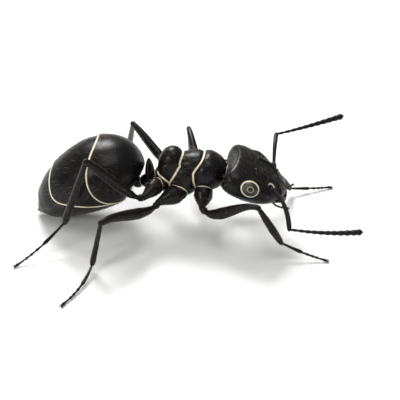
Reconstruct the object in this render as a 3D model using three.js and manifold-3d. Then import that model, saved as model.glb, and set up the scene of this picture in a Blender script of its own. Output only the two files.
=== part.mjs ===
// A black carpenter ant, major worker, at life size, standing on its six feet.
// Millimetres: +X runs forward along the body, +Y to the ant's left and +Z up, with the floor at z = 0.

import * as THREE from "three";
import { mergeVertices } from "three/addons/utils/BufferGeometryUtils.js";
import Module from "manifold-3d";

const wasm = await Module();
wasm.setup();

// ---------- Driving dimensions ----------

// Thin cuts part the body into its named pieces.
const GAP = 0.04;

// The body's own axis lies here in the part's frame, so that the stance is centred on the origin.
const BODY_AXIS = { x: -0.41, y: 0.425 };

// Each body piece is an egg: its middle, its full length and width, how far it rises and falls from its
// axis, where it is widest from tail (0) to nose (1), how blunt (low) or pointed (high) its ends are,
// how square its section is (2 is an oval), how far it is pitched nose down and rolled to its right, in
// degrees, and how many facets it has round and along it. The head's back is dished, and the gaster's
// axis is arched and droops at the tip.
const HEAD = {
  middle: [3.2, 0, 3.23],
  length: 3.76,
  width: 3.54,
  rise: 0.82,
  fall: 0.98,
  widest: 0.35,
  tail: 0.23,
  nose: 0.5,
  square: 2.4,
  pitch: 26,
  roll: 3,
  dish: 0.68,
  facets: [18, 12],
};
const PRONOTUM = {
  middle: [1.0, 0, 3.42],
  length: 1.9,
  width: 2.1,
  rise: 0.98,
  fall: 1.08,
  widest: 0.42,
  tail: 0.42,
  nose: 0.5,
  square: 2.1,
  pitch: 18,
  facets: [16, 10],
};
const MESONOTUM = {
  middle: [0.3, 0, 3.88],
  length: 2.0,
  width: 1.5,
  rise: 0.56,
  fall: 0.95,
  widest: 0.5,
  tail: 0.4,
  nose: 0.42,
  square: 2.2,
  pitch: -4,
  facets: [16, 10],
};
const MESOPLEURON = {
  middle: [-0.28, 0, 2.98],
  length: 1.75,
  width: 1.8,
  rise: 1.25,
  fall: 1.0,
  widest: 0.55,
  tail: 0.42,
  nose: 0.45,
  square: 2.2,
  pitch: 24,
  facets: [16, 10],
};
const PROPODEUM = {
  middle: [-0.92, 0, 3.52],
  length: 1.45,
  width: 1.45,
  rise: 1.12,
  fall: 1.0,
  widest: 0.5,
  tail: 0.42,
  nose: 0.5,
  square: 2.3,
  pitch: 6,
  facets: [16, 10],
};
const METAPLEURON = {
  middle: [-1.28, 0, 2.72],
  length: 1.0,
  width: 1.5,
  rise: 0.62,
  fall: 0.55,
  widest: 0.5,
  tail: 0.5,
  nose: 0.5,
  square: 2.2,
  pitch: -20,
  facets: [12, 6],
};
const NECK = {
  middle: [2.0, 0, 3.3],
  length: 1.1,
  width: 0.95,
  rise: 0.4,
  fall: 0.4,
  widest: 0.5,
  tail: 0.3,
  nose: 0.3,
  square: 2,
  pitch: 15,
  facets: [8, 6],
};
const PETIOLE_NODE = {
  middle: [-2.1, 0, 2.6],
  length: 1,
  width: 0.8,
  rise: 0.38,
  fall: 0.38,
  widest: 0.5,
  tail: 0.4,
  nose: 0.4,
  square: 2,
  pitch: -14,
  facets: [8, 6],
};
const PETIOLE_SCALE = {
  middle: [-2.08, 0, 3.0],
  length: 1.8,
  width: 1.15,
  rise: 0.24,
  fall: 0.24,
  widest: 0.4,
  tail: 0.4,
  nose: 0.62,
  square: 2,
  pitch: -94,
  facets: [12, 8],
};
const HELCIUM = {
  middle: [-2.7, 0, 2.42],
  length: 0.62,
  width: 0.62,
  rise: 0.28,
  fall: 0.28,
  widest: 0.5,
  tail: 0.5,
  nose: 0.5,
  square: 2,
  pitch: -20,
  facets: [8, 6],
};
const GASTER = {
  middle: [-5.46, 0, 2.19],
  length: 6.72,
  width: 4.1,
  rise: 1.8,
  fall: 1.9,
  widest: 0.66,
  tail: 0.75,
  nose: 0.46,
  square: 2,
  pitch: -32,
  arch: 0.23,
  droop: 0.22,
  facets: [20, 14],
};

// The hollow in the gaster's front, into which the waist fits.
const WAIST_HOLLOW = {
  middle: [-2.3, 0, 2.45],
  length: 1.36,
  width: 3.2,
  rise: 0.85,
  fall: 0.95,
  widest: 0.5,
  tail: 0.5,
  nose: 0.5,
  square: 2,
  pitch: 0,
  facets: [10, 6],
};

// Each back plate of the gaster ends in an arc across its sides: where the arc's middle is along the
// gaster from its tip (0) to its front (1), that middle's height and the arc's radius.
const PLATE_ENDS = [
  { along: 0.95, height: 0.05, radius: 2.1 },
  { along: 0.627, height: 0.5, radius: 2.2 },
  { along: 0.509, height: 0.3, radius: 2.6 },
];
// The belly plates lie below this height.
const BELLY_TOP = 1.85;

// The compound eyes, in the head's frame: their middle, their size and how far they face upward.
const EYE = { middle: [-0.08, 1.47, 0.22], length: 0.94, height: 0.8, depth: 0.6, turn: 28, facets: [10, 6] };

// Jaws and palps, in the head's frame and on its left side.
const MANDIBLE = { hinge: [1.45, 0.62, -0.02], bend: [1.98, 0.66, -0.07], tip: [1.98, 0.12, -0.1] };
const MANDIBLE_RADIUS = [0.32, 0.22];
const PALPS = {
  right: { root: [1.5, 0.34, -0.62], bend: [1.75, 0.45, -0.85], tip: [2.45, 0.48, -0.46] },
  left: { root: [1.4, 0.34, -0.62], bend: [2.0, 0.8, -0.5], tip: [2.3, 0.95, 0.1] },
};
const PALP_RADIUS = [0.22, 0.2];

// Antennae: the socket in the head's frame, then the curve's control points in the body's frame.
const SOCKET = [0.93, 0.92, 0.5];
const SCAPE_RADIUS = [0.25, 0.26];
const FUNICULUS_RADIUS = [0.25, 0.29];
const ANTENNAE = {
  right: {
    bow: [5.1, -1.5, 2.9],
    elbow: [5.28, -2.7, 1.96],
    bend: [7.1, -2.8, 1.85],
    tip: [8.86, -2.6, 2.04],
  },
  left: {
    bow: [4.17, 1.9, 4.1],
    elbow: [4.2, 3, 4.07],
    bend: [5.5, 3, 4.48],
    tip: [7.6, 2.5, 5.66],
  },
};

// Each leg's pieces, with trochanter and femur as one: its base, their lengths, and how far the femur's
// curve is pulled down near the trochanter and up near the knee.
const LEG_PAIRS = {
  fore: { base: [0.8, 0.58, 2.69], coxa: 1.15, femur: 3.15, tibia: 2.4, tarsus: 2.4, bow: [-1.1, 0.45] },
  middle: { base: [-0.46, 0.74, 2.45], coxa: 1.2, femur: 3.9, tibia: 2.4, tarsus: 3.05, bow: [-0.75, 0.3] },
  hind: { base: [-1.58, 0.62, 2.75], coxa: 1.15, femur: 3.95, tibia: 3.95, tarsus: 3.2, bow: [-0.8, 0.05] },
};
const COXA_RADIUS = [0.5, 0.3];
const FEMUR_RADIUS = [0.25, 0.26];
const FEMUR_SWELL = 0.07;
// A femur's curve is pulled down and then up at these shares of its length.
const BOW_AT = [0.2, 0.7];
const TIBIA_RADIUS = [0.25, 0.25];
const TARSUS_RADIUS = [0.25, 0.24];
// How high the middle of a foot's rounded end lies: a little less than its radius, for a small flat.
const FOOT_HEIGHT = 0.21;

// The stance: each piece's heading, from +X toward +Y, and its pitch above the level, in degrees. A
// tarsus has only its heading, because it slopes down until it meets the floor.
const STANCE = {
  right: {
    fore: { coxa: [-89, -27], femur: [-18, 15], tibia: [8, -60], tarsus: -3 },
    middle: { coxa: [-146, -14], femur: [-127, 9], tibia: [-161, -77], tarsus: -106 },
    hind: { coxa: [-118, -8], femur: [-151, 43], tibia: [173, -70], tarsus: -137 },
  },
  left: {
    fore: { coxa: [75, -35], femur: [16, 5], tibia: [49, -51], tarsus: 23 },
    middle: { coxa: [36, -22], femur: [108, 14], tibia: [84, -73], tarsus: 20 },
    hind: { coxa: [45, -15], femur: [139, 18], tibia: [108, -49], tarsus: -171 },
  },
};

const CUTICLE = new THREE.MeshStandardMaterial({ color: 0x17110e, roughness: 0.3, metalness: 0 });
const LEG_CUTICLE = new THREE.MeshStandardMaterial({ color: 0x24160f, roughness: 0.35, metalness: 0 });
const EYE_LENS = new THREE.MeshStandardMaterial({ color: 0x0b0a0a, roughness: 0.2, metalness: 0 });

// ---------- Closed skins ----------

const { degToRad, lerp } = THREE.MathUtils;

// The geometry with only its positions left, and one vertex at each of them.
const MERGE_WITHIN = 1e-5;
function bare(geometry) {
  geometry.deleteAttribute("normal");
  geometry.deleteAttribute("uv");
  return mergeVertices(geometry, MERGE_WITHIN);
}

// A closed skin: a sphere whose poles are the piece's two ends. place(t, angle) puts each vertex, with
// t from 0 to 1 along the piece and the angle round it from the left side over the top.
function skin(sides, rings, place) {
  const geometry = bare(new THREE.SphereGeometry(1, sides, rings));
  const points = geometry.getAttribute("position");
  const point = new THREE.Vector3();
  for (let i = 0; i < points.count; i++) {
    point.fromBufferAttribute(points, i);
    const t = 1 - Math.acos(THREE.MathUtils.clamp(point.y, -1, 1)) / Math.PI;
    point.copy(place(t, Math.atan2(-point.z, point.x)));
    points.setXYZ(i, point.x, point.y, point.z);
  }
  return geometry;
}

// An egg's half-width at t along it: 0 at both ends and 1 where it is widest.
function eggRadius(t, { widest, tail, nose }) {
  const away = t < widest ? (widest - t) / widest : (t - widest) / (1 - widest);
  return Math.pow(Math.max(0, 1 - away * away), t < widest ? tail : nose);
}

function powered(value, power) {
  return Math.sign(value) * Math.pow(Math.abs(value), power);
}

// Turns a piece's own frame, +X to its nose, into the body's frame.
function frameOf({ middle, pitch = 0, roll = 0 }) {
  const turn = new THREE.Euler(degToRad(roll), degToRad(pitch), 0, "ZYX");
  const frame = new THREE.Matrix4().makeRotationFromEuler(turn);
  return frame.setPosition(...middle);
}

// A dished back and a drooping tip reach this share of the length.
const END_REACH = 1 / 3;

// An egg-shaped body piece, made larger all round by `grow`.
function egg(shape, grow = 0) {
  const { length, width, rise, fall, square, facets, arch = 0, dish = 0, droop = 0 } = shape;
  const geometry = skin(...facets, (t, angle) => {
    const along = (1 - Math.cos(Math.PI * t)) / 2;
    const radius = eggRadius(along, shape);
    const across = powered(Math.cos(angle), 2 / square);
    const upward = powered(Math.sin(angle), 2 / square);
    const half = upward > 0 ? rise : fall;
    const nearTail = Math.max(0, 1 - along / END_REACH) ** 2;
    const hollow = dish * nearTail * (1 - (across * radius) ** 2);
    const bow = arch * (1 - (2 * along - 1) ** 2) - droop * nearTail;
    return new THREE.Vector3(
      (along - 0.5) * (length + 2 * grow) + hollow,
      across * radius * (width / 2 + grow),
      upward * radius * (half + grow) + bow,
    );
  });
  return geometry.applyMatrix4(frameOf(shape));
}

const ROD_SIDES = 8;
const CURVE_STEPS = 4;
const FEMUR_STEPS = 5;
const ROUND_END_RINGS = 2;

// A rod along a curve, in so many steps and with round ends. Its half-thickness runs from one radius to
// the other and swells by `swell` between them.
function rod({ curve, radius, swell = 0, steps }, grow = 0) {
  const rings = steps + 2 * ROUND_END_RINGS;
  return skin(ROD_SIDES, rings, (t, angle) => {
    const ring = Math.round(t * rings);
    const before = Math.max(0, ROUND_END_RINGS - ring);
    const after = Math.max(0, ring - ROUND_END_RINGS - steps);
    const along = THREE.MathUtils.clamp((ring - ROUND_END_RINGS) / steps, 0, 1);
    const turn = ((before + after) / ROUND_END_RINGS) * (Math.PI / 2);
    const half = lerp(radius[0], radius[1], along) + swell * Math.sin(Math.PI * along) + grow;
    const forward = curve.getTangent(along);
    const side = new THREE.Vector3(0, 0, 1).cross(forward).normalize();
    const up = forward.clone().cross(side);
    return curve
      .getPoint(along)
      .addScaledVector(forward, half * Math.sin(turn) * Math.sign(after - before))
      .addScaledVector(side, half * Math.cos(turn) * Math.cos(angle))
      .addScaledVector(up, half * Math.cos(turn) * Math.sin(angle));
  });
}

// ---------- Cuts ----------

function solidOf(geometry) {
  return new wasm.Manifold(
    new wasm.Mesh({
      numProp: 3,
      vertProperties: new Float32Array(geometry.getAttribute("position").array),
      triVerts: new Uint32Array(geometry.getIndex().array),
    }),
  );
}

function geometryOf(solid) {
  const mesh = solid.getMesh();
  return new THREE.BufferGeometry()
    .setAttribute("position", new THREE.BufferAttribute(mesh.vertProperties, 3))
    .setIndex(new THREE.BufferAttribute(mesh.triVerts, 1));
}

// The largest of the bodies that a cut leaves.
function largest(solid) {
  return solid.decompose().reduce((best, body) => (body.volume() > best.volume() ? body : best));
}

// A mesh of the piece less its neighbours, each made larger by the gap. A piece is a function of how
// much it is grown. The mesh's own origin is its pivot.
function part(name, piece, neighbours, material, pivot) {
  let solid = solidOf(piece(0));
  for (const neighbour of neighbours) solid = solid.subtract(solidOf(neighbour(GAP)));
  return meshOf(name, largest(solid), material, pivot);
}

function meshOf(name, solid, material, pivot) {
  const mesh = new THREE.Mesh(geometryOf(solid).translate(-pivot[0], -pivot[1], -pivot[2]), material);
  mesh.name = name;
  mesh.position.set(...pivot);
  return mesh;
}

// A wide block whose top is at the given height.
const BLOCK_SIZE = 30;
function blockBelow(height) {
  const block = new THREE.BoxGeometry(BLOCK_SIZE, BLOCK_SIZE, BLOCK_SIZE);
  return solidOf(bare(block).translate(0, 0, height - BLOCK_SIZE / 2));
}

function eggPiece(shape) {
  return (grow) => egg(shape, grow);
}

// ---------- Head ----------

const headFrame = frameOf(HEAD);

// A place in the head's frame, on its left (1) or right (-1) side.
function inHead([x, y, z], side) {
  return new THREE.Vector3(x, side * y, z).applyMatrix4(headFrame);
}

const head = eggPiece(HEAD);
const neck = eggPiece(NECK);

function eyePiece(side) {
  const middle = inHead(EYE.middle, side);
  return (grow) =>
    bare(new THREE.SphereGeometry(1, ...EYE.facets))
      .scale(EYE.length / 2 + grow, EYE.height / 2 + grow, EYE.depth / 2 + grow)
      .rotateX(-side * degToRad(90 - EYE.turn))
      .applyMatrix4(headFrame.clone().setPosition(middle));
}

function mandiblePiece(side) {
  const [hinge, bend, tip] = [MANDIBLE.hinge, MANDIBLE.bend, MANDIBLE.tip].map((at) => inHead(at, side));
  const curve = new THREE.QuadraticBezierCurve3(hinge, bend, tip);
  return (grow) => rod({ curve, radius: MANDIBLE_RADIUS, steps: CURVE_STEPS }, grow);
}

function palpPiece(name, side) {
  const { root, bend, tip } = PALPS[name];
  const curve = new THREE.QuadraticBezierCurve3(...[root, bend, tip].map((at) => inHead(at, side)));
  return (grow) => rod({ curve, radius: PALP_RADIUS, steps: CURVE_STEPS - 1 }, grow);
}

function antenna(name, side) {
  const { bow, elbow, bend, tip } = ANTENNAE[name];
  const socket = inHead(SOCKET, side);
  const at = (point) => new THREE.Vector3(...point);
  const scapeCurve = new THREE.QuadraticBezierCurve3(socket, at(bow), at(elbow));
  const funiculusCurve = new THREE.QuadraticBezierCurve3(at(elbow), at(bend), at(tip));
  const bent = { steps: CURVE_STEPS };
  const scape = (grow) => rod({ ...bent, curve: scapeCurve, radius: SCAPE_RADIUS }, grow);
  const funiculus = (grow) => rod({ ...bent, curve: funiculusCurve, radius: FUNICULUS_RADIUS }, grow);
  return [
    part("scape_" + name, scape, [head], CUTICLE, socket.toArray()),
    part("funiculus_" + name, funiculus, [scape], CUTICLE, elbow),
  ];
}

function makeHead() {
  const group = new THREE.Group();
  const eyes = { right: eyePiece(-1), left: eyePiece(1) };
  group.add(part("head", head, [neck, eyes.right, eyes.left], CUTICLE, HEAD.middle));
  for (const [name, side] of [["right", -1], ["left", 1]]) {
    const mandible = mandiblePiece(side);
    const others = side > 0 ? [head, mandiblePiece(-side)] : [head];
    group.add(part("eye_" + name, eyes[name], [], EYE_LENS, HEAD.middle));
    group.add(part("mandible_" + name, mandible, others, CUTICLE, HEAD.middle));
    group.add(part("palp_" + name, palpPiece(name, side), [head, mandible], CUTICLE, HEAD.middle));
    group.add(...antenna(name, side));
  }
  return group;
}

// ---------- Thorax and petiole ----------

const pronotum = eggPiece(PRONOTUM);
const mesonotum = eggPiece(MESONOTUM);
const mesopleuron = eggPiece(MESOPLEURON);
const propodeum = eggPiece(PROPODEUM);
const metapleuron = eggPiece(METAPLEURON);
const petioleNode = eggPiece(PETIOLE_NODE);
const petioleScale = eggPiece(PETIOLE_SCALE);
const helcium = eggPiece(HELCIUM);

function makeThorax() {
  const group = new THREE.Group();
  group.add(part("mesonotum", mesonotum, [], CUTICLE, MESONOTUM.middle));
  group.add(part("pronotum", pronotum, [mesonotum], CUTICLE, PRONOTUM.middle));
  group.add(part("mesopleuron", mesopleuron, [mesonotum, pronotum], CUTICLE, MESOPLEURON.middle));
  group.add(part("propodeum", propodeum, [mesonotum, mesopleuron], CUTICLE, PROPODEUM.middle));
  group.add(part("metapleuron", metapleuron, [propodeum, mesopleuron], CUTICLE, METAPLEURON.middle));
  group.add(part("neck", neck, [pronotum], CUTICLE, NECK.middle));
  return group;
}

function makePetiole() {
  const thorax = [propodeum, metapleuron].map((piece) => solidOf(piece(GAP)));
  let petiole = solidOf(petioleNode(0)).add(solidOf(petioleScale(0)));
  for (const neighbour of [...thorax, solidOf(helcium(GAP))]) petiole = petiole.subtract(neighbour);
  return [
    meshOf("petiole", largest(petiole), CUTICLE, PETIOLE_NODE.middle),
    part("helcium", helcium, [], CUTICLE, HELCIUM.middle),
  ];
}

// ---------- Gaster ----------

const gaster = eggPiece(GASTER);
const waistHollow = eggPiece(WAIST_HOLLOW);
const ARC_SEGMENTS = 10;

// All that lies ahead of a plate's hind edge, as a tongue across the gaster with a round hind end.
function aheadOf({ along, height, radius }, grow = 0) {
  const middle = (along - 0.5) * GASTER.length;
  const front = GASTER.length;
  const half = radius + grow;
  const outline = new THREE.Shape();
  outline.moveTo(front, height - half);
  outline.lineTo(front, height + half);
  outline.lineTo(middle, height + half);
  outline.absarc(middle, height, half, Math.PI / 2, (3 * Math.PI) / 2);
  const depth = 2 * GASTER.width;
  const options = { depth, bevelEnabled: false, curveSegments: ARC_SEGMENTS };
  const tongue = new THREE.ExtrudeGeometry(outline, options);
  tongue.translate(0, 0, -depth / 2).rotateX(Math.PI / 2);
  return solidOf(bare(tongue).applyMatrix4(frameOf(GASTER)));
}

function makeGaster() {
  const group = new THREE.Group();
  const whole = [petioleNode, petioleScale, helcium].reduce(
    (solid, neighbour) => solid.subtract(solidOf(neighbour(GAP))),
    solidOf(gaster(0)).subtract(solidOf(waistHollow(0))),
  );
  const [first, second, third] = PLATE_ENDS;
  const back = whole.subtract(blockBelow(BELLY_TOP + GAP));
  const plates = {
    gaster_tergite_1: back.intersect(aheadOf(first)),
    gaster_tergite_2: back.intersect(aheadOf(second)).subtract(aheadOf(first, GAP)),
    gaster_tergite_3: whole.intersect(aheadOf(third)).subtract(aheadOf(second, GAP)),
    gaster_tip: whole.subtract(aheadOf(third, GAP)),
    gaster_belly: whole.intersect(blockBelow(BELLY_TOP)).intersect(aheadOf(second)),
  };
  for (const [name, solid] of Object.entries(plates)) {
    group.add(meshOf(name, largest(solid), CUTICLE, GASTER.middle));
  }
  return group;
}

// ---------- Legs ----------

// The points where a leg's pieces meet, from its base on the thorax to the middle of its foot's end.
function legJoints({ base, ...lengths }, { tarsus, ...angles }, side) {
  const joints = [new THREE.Vector3(base[0], side * base[1], base[2])];
  const reach = (length, heading, pitch) => {
    const step = new THREE.Vector3(Math.cos(heading), Math.sin(heading), Math.tan(pitch));
    joints.push(step.setLength(length).add(joints.at(-1)));
  };
  for (const piece of ["coxa", "femur", "tibia"]) reach(lengths[piece], ...angles[piece].map(degToRad));
  const drop = (FOOT_HEIGHT - joints.at(-1).z) / lengths.tarsus;
  reach(lengths.tarsus, degToRad(tarsus), Math.asin(drop));
  return joints;
}

// A leg's joints and its four pieces.
function legPieces(pair, angles, side) {
  const joints = legJoints(pair, angles, side);
  const between = (i) => new THREE.LineCurve3(joints[i], joints[i + 1]);
  const pulls = BOW_AT.map((share, i) =>
    joints[1].clone().lerp(joints[2], share).add(new THREE.Vector3(0, 0, pair.bow[i])),
  );
  const thigh = new THREE.CubicBezierCurve3(joints[1], ...pulls, joints[2]);
  const femur = { curve: thigh, radius: FEMUR_RADIUS, swell: FEMUR_SWELL, steps: FEMUR_STEPS };
  return {
    joints,
    coxa: (grow) => rod({ curve: between(0), radius: COXA_RADIUS, steps: 2 }, grow),
    femur: (grow) => rod(femur, grow),
    tibia: (grow) => rod({ curve: between(2), radius: TIBIA_RADIUS, steps: 1 }, grow),
    tarsus: (grow) => rod({ curve: between(3), radius: TARSUS_RADIUS, steps: 1 }, grow),
  };
}

// The leg's meshes. `ahead` is the leg in front on the same side, whose base this one keeps clear of.
function makeLeg(name, { joints, coxa, femur, tibia, tarsus }, ahead) {
  const trunk = [pronotum, mesopleuron, propodeum, metapleuron, petioleNode, petioleScale];
  const clear = ahead ? [...trunk, ahead.coxa, ahead.femur] : trunk;
  const foot = solidOf(tarsus(0)).subtract(solidOf(tibia(GAP))).subtract(blockBelow(0));
  const group = new THREE.Group();
  group.add(
    part(name + "_coxa", coxa, clear, LEG_CUTICLE, joints[0].toArray()),
    part(name + "_femur", femur, [coxa, ...clear], LEG_CUTICLE, joints[1].toArray()),
    part(name + "_tibia", tibia, [femur], LEG_CUTICLE, joints[2].toArray()),
    meshOf(name + "_tarsus", largest(foot), LEG_CUTICLE, joints[3].toArray()),
  );
  return group;
}

// ---------- The ant ----------

const ant = new THREE.Group();
ant.position.set(BODY_AXIS.x, BODY_AXIS.y, 0);
ant.add(makeHead(), makeThorax(), ...makePetiole(), makeGaster());
for (const [name, side] of [["right", -1], ["left", 1]]) {
  let ahead = null;
  for (const [pair, angles] of Object.entries(STANCE[name])) {
    const leg = legPieces(LEG_PAIRS[pair], angles, side);
    ant.add(makeLeg(name + "_" + pair, leg, ahead));
    ahead = leg;
  }
}

export default ant;
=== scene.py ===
"""A black carpenter ant at life size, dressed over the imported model.

Shapes are worked out in millimetres in the ant's own frame (+X forward, +Y to its left, +Z up, floor at
z = 0) and written to Blender in metres.
"""
import math
from collections import namedtuple

import bpy
import numpy as np
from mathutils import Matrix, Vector


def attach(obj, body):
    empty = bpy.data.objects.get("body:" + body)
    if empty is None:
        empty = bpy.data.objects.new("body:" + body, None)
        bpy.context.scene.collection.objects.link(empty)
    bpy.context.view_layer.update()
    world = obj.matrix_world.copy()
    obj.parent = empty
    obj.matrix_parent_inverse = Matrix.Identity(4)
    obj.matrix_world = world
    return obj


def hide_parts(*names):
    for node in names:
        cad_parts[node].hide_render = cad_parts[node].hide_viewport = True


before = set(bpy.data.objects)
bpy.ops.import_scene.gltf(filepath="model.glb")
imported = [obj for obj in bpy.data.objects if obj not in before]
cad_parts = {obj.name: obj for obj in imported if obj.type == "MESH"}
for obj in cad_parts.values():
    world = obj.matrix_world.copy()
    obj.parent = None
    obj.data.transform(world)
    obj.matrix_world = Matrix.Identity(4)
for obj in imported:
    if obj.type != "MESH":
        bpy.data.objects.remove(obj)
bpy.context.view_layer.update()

# ---------- Driving dimensions, in mm ----------

MM = 0.001
# Where the ant's own frame stands in the part's, so that the box round the ant is centred.
BODY_AXIS = np.array([-0.41, 0.425, 0])
SEED = 11

# Each body piece is an egg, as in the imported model: middle, length, width, rise and fall from its axis,
# where it is widest from tail (0) to nose (1), how blunt its ends are, how square its section is, and its
# pitch nose down and roll, in degrees.
HEAD = dict(middle=(3.2, 0, 3.23), length=3.76, width=3.54, rise=0.82, fall=0.98, widest=0.35, tail=0.23,
            nose=0.5, square=2.4, pitch=26, roll=3, dish=0.68)
PRONOTUM = dict(middle=(1.0, 0, 3.42), length=1.9, width=2.1, rise=0.98, fall=1.08, widest=0.42, tail=0.42,
                nose=0.5, square=2.1, pitch=18)
MESONOTUM = dict(middle=(0.3, 0, 3.88), length=2.0, width=1.5, rise=0.56, fall=0.95, widest=0.5, tail=0.4,
                 nose=0.42, square=2.2, pitch=-4)
MESOPLEURON = dict(middle=(-0.28, 0, 2.98), length=1.75, width=1.8, rise=1.25, fall=1.0, widest=0.55,
                   tail=0.42, nose=0.45, square=2.2, pitch=24)
PROPODEUM = dict(middle=(-0.92, 0, 3.52), length=1.45, width=1.45, rise=1.12, fall=1.0, widest=0.5,
                 tail=0.42, nose=0.5, square=2.3, pitch=6)
METAPLEURON = dict(middle=(-1.28, 0, 2.72), length=1.0, width=1.5, rise=0.62, fall=0.55, widest=0.5,
                   tail=0.5, nose=0.5, square=2.2, pitch=-20)
NECK = dict(middle=(2.0, 0, 3.3), length=1.1, width=0.95, rise=0.4, fall=0.4, widest=0.5, tail=0.3,
            nose=0.3, square=2, pitch=15)
PETIOLE_NODE = dict(middle=(-2.1, 0, 2.6), length=1, width=0.8, rise=0.38, fall=0.38, widest=0.5, tail=0.4,
                    nose=0.4, square=2, pitch=-14)
PETIOLE_SCALE = dict(middle=(-2.08, 0, 3.0), length=1.8, width=1.15, rise=0.24, fall=0.24, widest=0.4,
                     tail=0.4, nose=0.62, square=2, pitch=-94)
HELCIUM = dict(middle=(-2.7, 0, 2.42), length=0.62, width=0.62, rise=0.28, fall=0.28, widest=0.5, tail=0.5,
               nose=0.5, square=2, pitch=-20)
GASTER = dict(middle=(-5.46, 0, 2.19), length=6.72, width=4.1, rise=1.8, fall=1.9, widest=0.66, tail=0.75,
              nose=0.46, square=2, pitch=-32, arch=0.23, droop=0.22)

# The arcs that end the gaster's back plates, and the height of the belly plates' upper edge.
PLATE_ENDS = [
    dict(along=0.95, height=0.05, radius=2.1),
    dict(along=0.627, height=0.5, radius=2.2),
    dict(along=0.509, height=0.3, radius=2.6),
]
BELLY_TOP = 1.85

# The eye, in the head's frame and on its left side.
EYE = dict(middle=(-0.08, 1.47, 0.22), length=0.94, height=0.8, depth=0.6, turn=28)
EYE_HALF = np.array([EYE["length"], EYE["height"], EYE["depth"]]) / 2
# The spacing of the eye's facets on a ball of radius 1.
FACET = 0.102

# Antennae: the socket in the head's frame, then the curves' points in the body's frame.
SOCKET = (0.93, 0.92, 0.5)
ANTENNAE = {
    "right": dict(bow=(5.1, -1.5, 2.9), elbow=(5.28, -2.7, 1.96),
                  bend=(7.1, -2.8, 1.85), tip=(8.86, -2.6, 2.04)),
    "left": dict(bow=(4.17, 1.9, 4.1), elbow=(4.2, 3, 4.07), bend=(5.5, 3, 4.48), tip=(7.6, 2.5, 5.66)),
}
# The segments of an antenna's whip, where the first one ends, and how thick the whip and its core are.
FLAGELLOMERES = 11
PEDICEL_END = 0.115
WHIP = dict(radius=0.07, joint=0.04, sides=28, rows=18, club=2.3)

# Each leg's base and the lengths of its pieces, and how far the femur's curve is pulled down near its
# base and up near the knee.
LEG_PAIRS = {
    "fore": dict(base=(0.8, 0.58, 2.69), coxa=1.15, femur=3.15, tibia=2.4, tarsus=2.4, bow=(-1.1, 0.45)),
    "middle": dict(base=(-0.46, 0.74, 2.45), coxa=1.2, femur=3.9, tibia=2.4, tarsus=3.05, bow=(-0.75, 0.3)),
    "hind": dict(base=(-1.58, 0.62, 2.75), coxa=1.15, femur=3.95, tibia=3.95, tarsus=3.2, bow=(-0.8, 0.05)),
}
# Where along the femur its curve is pulled, and how high the end of a foot's middle line lies.
BOW_AT = (0.2, 0.7)
FOOT_HEIGHT = 0.21

# The stance: each piece's heading and pitch in degrees, and the tarsus's heading.
STANCE = {
    "right": {
        "fore": dict(coxa=(-89, -27), femur=(-18, 15), tibia=(8, -60), tarsus=-3),
        "middle": dict(coxa=(-146, -14), femur=(-127, 9), tibia=(-161, -77), tarsus=-106),
        "hind": dict(coxa=(-118, -8), femur=(-151, 43), tibia=(173, -70), tarsus=-137),
    },
    "left": {
        "fore": dict(coxa=(75, -35), femur=(16, 5), tibia=(49, -51), tarsus=23),
        "middle": dict(coxa=(36, -22), femur=(108, 14), tibia=(84, -73), tarsus=20),
        "hind": dict(coxa=(45, -15), femur=(139, 18), tibia=(108, -49), tarsus=-171),
    },
}
SIDES = {"right": -1, "left": 1}

# Half-thicknesses along each limb, as (share of its length, radius).
COXA_PROFILES = {
    "fore": [(0, 0.4), (0.15, 0.53), (0.45, 0.53), (0.72, 0.37), (0.9, 0.22), (1, 0.18)],
    "middle": [(0, 0.46), (0.2, 0.53), (0.45, 0.48), (0.8, 0.28), (1, 0.19)],
    "hind": [(0, 0.36), (0.15, 0.46), (0.45, 0.41), (0.8, 0.26), (1, 0.19)],
}
TROCHANTER_PROFILE = [(0, 0.13), (0.35, 0.18), (0.75, 0.19), (1, 0.14)]
FEMUR_PROFILES = {
    "fore": [(0, 0.14), (0.1, 0.24), (0.28, 0.31), (0.5, 0.27), (0.75, 0.19), (0.92, 0.155), (1, 0.15)],
    "middle": [(0, 0.13), (0.1, 0.21), (0.3, 0.3), (0.5, 0.29), (0.75, 0.23), (0.92, 0.19), (1, 0.16)],
    "hind": [(0, 0.1), (0.12, 0.19), (0.4, 0.28), (0.7, 0.25), (0.92, 0.19), (1, 0.17)],
}
TIBIA_PROFILES = {
    "fore": [(0, 0.1), (0.06, 0.12), (0.3, 0.17), (0.65, 0.2), (0.93, 0.16), (1, 0.12)],
    "middle": [(0, 0.09), (0.06, 0.11), (0.3, 0.12), (0.7, 0.14), (0.95, 0.15), (1, 0.12)],
    "hind": [(0, 0.1), (0.05, 0.13), (0.3, 0.15), (0.7, 0.18), (0.95, 0.2), (1, 0.15)],
}
SCAPE_PROFILE = [
    (0, 0.09), (0.03, 0.14), (0.07, 0.145), (0.12, 0.085),
    (0.25, 0.09), (0.55, 0.11), (0.93, 0.125), (1, 0.1),
]
BASITARSUS_PROFILE = [(0, 0.05), (0.1, 0.055), (0.5, 0.07), (0.93, 0.095), (1, 0.07)]
# The other segments of feet, whips and palps have their radii as shares of the limb's own.
TARSOMERE_PROFILE = [(0, 0.65), (0.2, 0.85), (0.7, 1), (0.92, 1.55), (1, 1)]
SEGMENT_PROFILE = [(0, 0.62), (0.25, 0.88), (0.8, 1.03), (1, 0.86)]
LAST_SEGMENT_PROFILE = [(0, 0.62), (0.2, 0.98), (0.5, 1), (0.8, 0.72), (1, 0.25)]
# Where a foot's five segments start and end, as shares of its length.
TARSOMERES = [(0.0, 0.47), (0.47, 0.62), (0.62, 0.73), (0.73, 0.82), (0.82, 1.0)]
TARSUS_RADIUS = 0.056

rng = np.random.default_rng(SEED)

# ---------- Skins ----------


def unit(vectors):
    """Vectors along the last axis, at length 1."""
    return vectors / np.maximum(np.linalg.norm(vectors, axis=-1, keepdims=True), 1e-12)


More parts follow.
